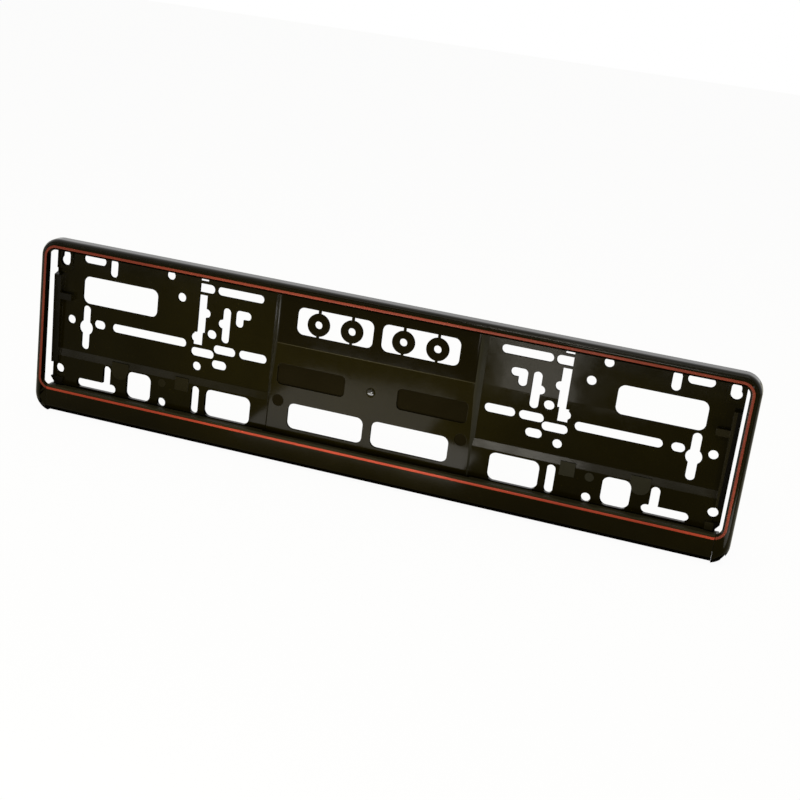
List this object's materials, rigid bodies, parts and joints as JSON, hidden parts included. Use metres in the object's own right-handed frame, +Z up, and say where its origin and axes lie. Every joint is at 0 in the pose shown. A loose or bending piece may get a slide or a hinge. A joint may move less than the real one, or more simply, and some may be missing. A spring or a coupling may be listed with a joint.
{
  "type": "number plate holder",
  "caption": "Slotted moulded carrier with a rounded lip frame and red accent line, closed along its lower edge by a hinged strip; holds a long vehicle number plate.",
  "frame": {"origin": "centre of the plate opening, on the back plane that lies against the vehicle", "axes": "+X along the plate to the viewer's right, -Y faces the viewer, +Y into the vehicle, +Z up"},
  "size_m": [0.532, 0.0131, 0.1346],
  "materials": {
    "black_plastic": "black moulded plastic, semi-gloss",
    "red_plastic": "red accent line, satin"
  },
  "bodies": {
    "carrier": {"carrier": "black_plastic", "frame_red_line": "red_plastic"},
    "strip": {"closing_strip": "black_plastic", "strip_red_line": "red_plastic"}
  },
  "joints": [
    {"name": "strip_hinge", "type": "hinge", "parent": "carrier", "child": "strip", "pos_m": [0, -0.0058, -0.0676], "axis": [1, 0, 0], "range_deg": [0, 85]}
  ]
}
